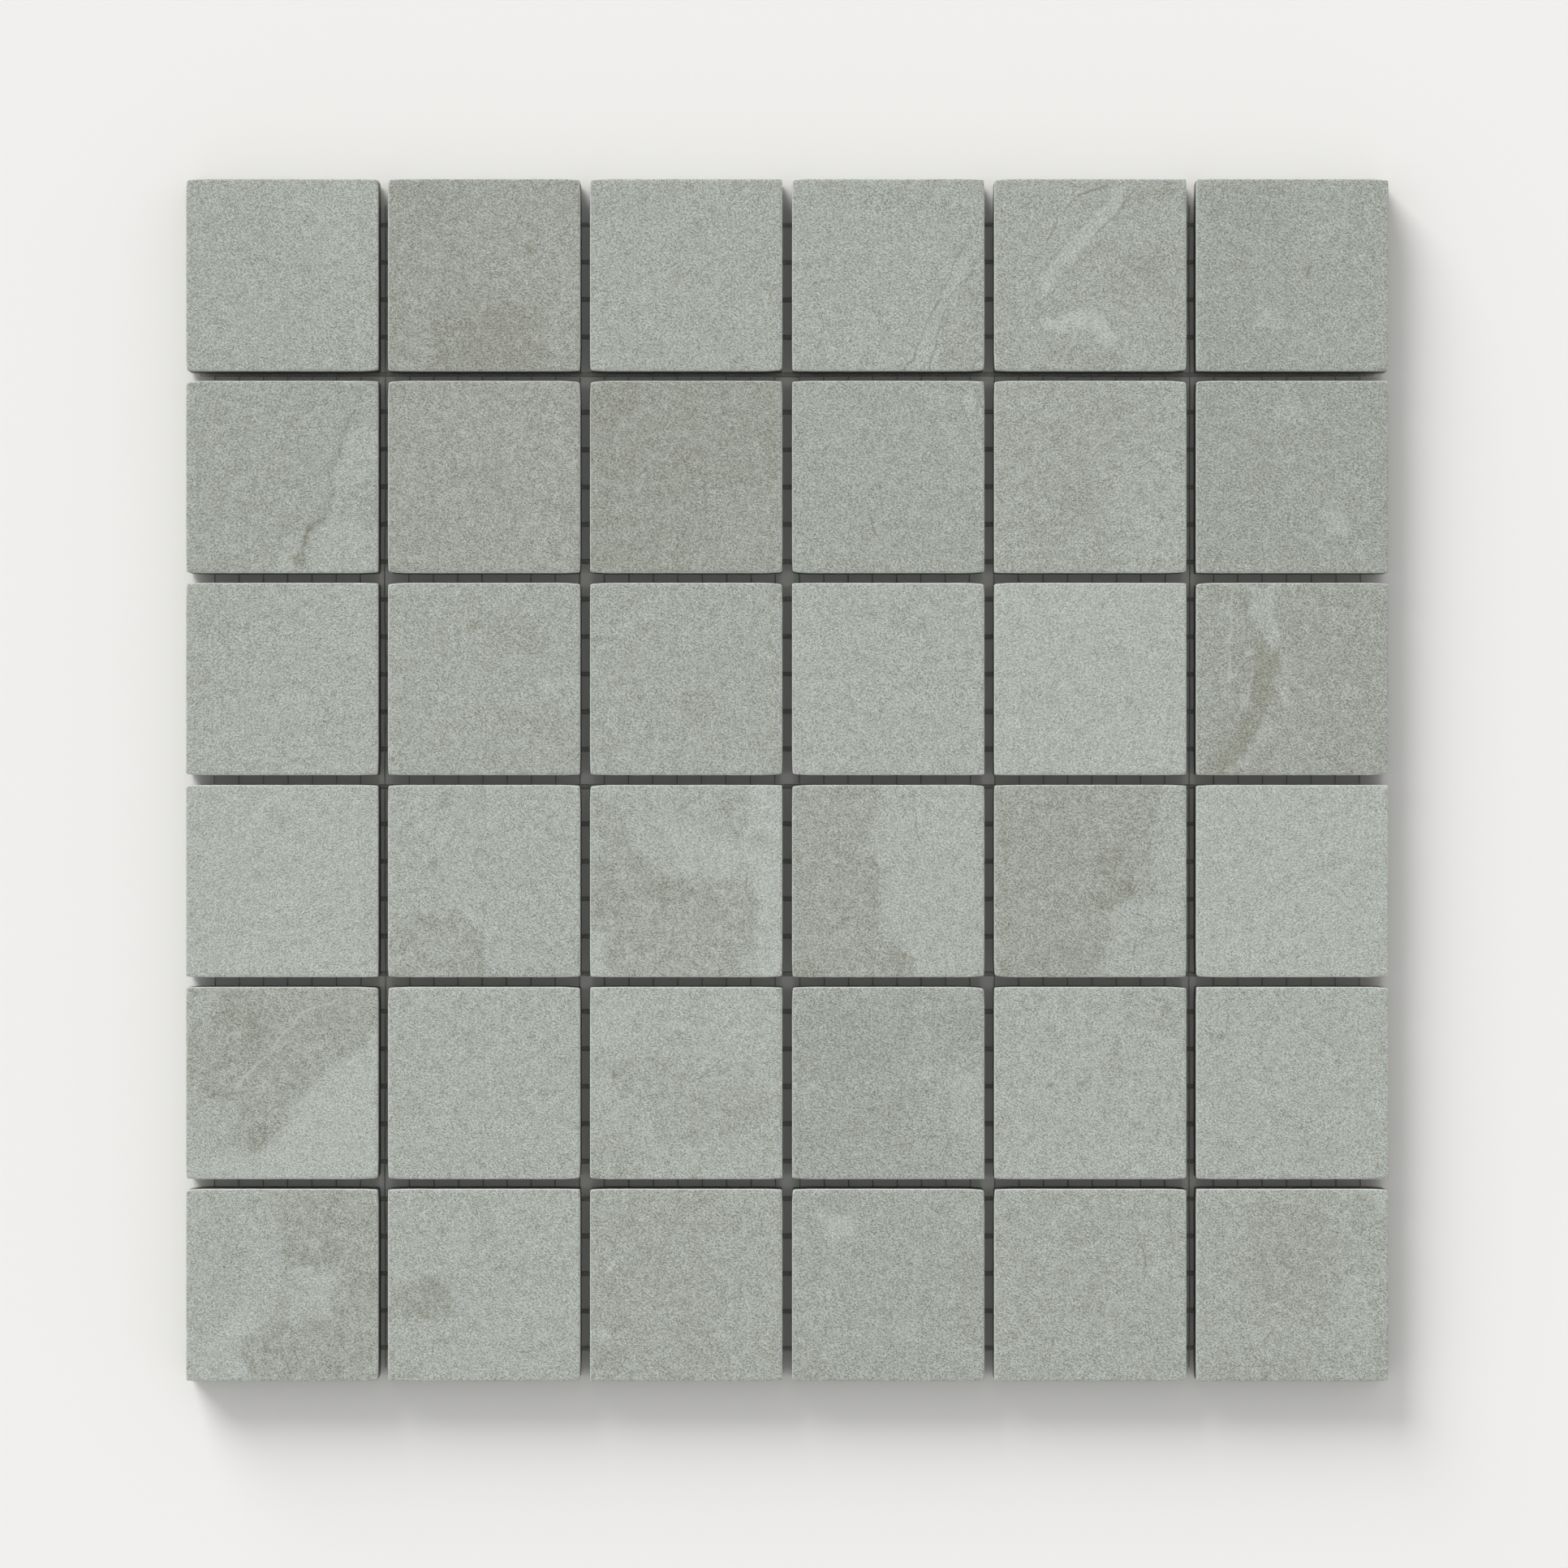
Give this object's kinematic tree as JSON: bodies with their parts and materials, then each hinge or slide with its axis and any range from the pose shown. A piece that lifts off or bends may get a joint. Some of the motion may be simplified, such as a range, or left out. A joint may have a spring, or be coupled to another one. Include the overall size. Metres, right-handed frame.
{
  "type": "mosaic tile sheet",
  "caption": "Square sheet of small slate-look porcelain mosaic tiles, glued with even open joints on a glass-fibre net, for floors and walls.",
  "frame": {"origin": "under the middle of the sheet, on the underside of its backing net", "axes": "+Z out of the faces of the tiles, +Y towards the first row of tiles, +X along a row towards its last tile"},
  "size_m": [0.3, 0.3, 0.0094],
  "materials": {
    "tile": "matt slate-look porcelain, grey with warm and pale green-grey clouds",
    "net": "light grey coated glass-fibre net"
  },
  "bodies": {
    "root": {"tile_r1_c1": "tile", "tile_r1_c2": "tile", "tile_r1_c3": "tile", "tile_r1_c4": "tile", "tile_r1_c5": "tile", "tile_r1_c6": "tile", "tile_r2_c1": "tile", "tile_r2_c2": "tile", "tile_r2_c3": "tile", "tile_r2_c4": "tile", "tile_r2_c5": "tile", "tile_r2_c6": "tile", "tile_r3_c1": "tile", "tile_r3_c2": "tile", "tile_r3_c3": "tile", "tile_r3_c4": "tile", "tile_r3_c5": "tile", "tile_r3_c6": "tile", "tile_r4_c1": "tile", "tile_r4_c2": "tile", "tile_r4_c3": "tile", "tile_r4_c4": "tile", "tile_r4_c5": "tile", "tile_r4_c6": "tile", "tile_r5_c1": "tile", "tile_r5_c2": "tile", "tile_r5_c3": "tile", "tile_r5_c4": "tile", "tile_r5_c5": "tile", "tile_r5_c6": "tile", "tile_r6_c1": "tile", "tile_r6_c2": "tile", "tile_r6_c3": "tile", "tile_r6_c4": "tile", "tile_r6_c5": "tile", "tile_r6_c6": "tile", "net_top_left": "net", "net_top_right": "net", "net_bottom_left": "net", "net_bottom_right": "net"}
  },
  "joints": []
}
